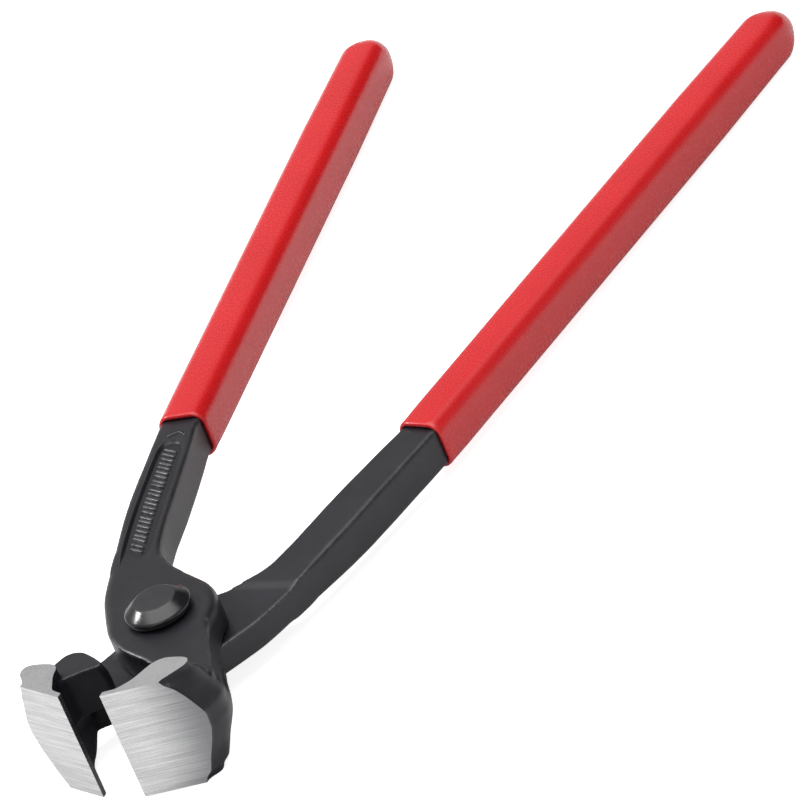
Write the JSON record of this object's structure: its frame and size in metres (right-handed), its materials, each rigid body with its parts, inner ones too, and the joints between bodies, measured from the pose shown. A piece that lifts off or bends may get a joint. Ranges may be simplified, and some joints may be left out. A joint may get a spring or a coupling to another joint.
{
  "type": "end-nipper pliers",
  "caption": "Lap-jointed end-nipper pliers with wide ground jaws, a riveted pivot and long straight handles in dipped plastic grips.",
  "frame": {"origin": "centre of the rivet head's upper flat face, on the pivot axis", "axes": "+Z along the pivot axis, out of the rivet head; +Y from the pivot to the handles; the jaws point to -Y"},
  "size_m": [0.101, 0.2235, 0.023],
  "materials": {
    "black_steel": "satin black oxide, jaw faces ground bright",
    "rivet_steel": "semi-gloss black",
    "red_grip": "satin gloss dipped vinyl"
  },
  "bodies": {
    "lower_half": {"lower_lever": "black_steel", "pivot_rivet": "rivet_steel", "right_grip": "red_grip"},
    "upper_half": {"upper_lever": "black_steel", "left_grip": "red_grip"}
  },
  "joints": [
    {"name": "pivot", "type": "hinge", "parent": "lower_half", "child": "upper_half", "pos_m": [0, 0, -0.0098], "axis": [0, 0, 1], "range_deg": [-16.4, 41.5]}
  ]
}
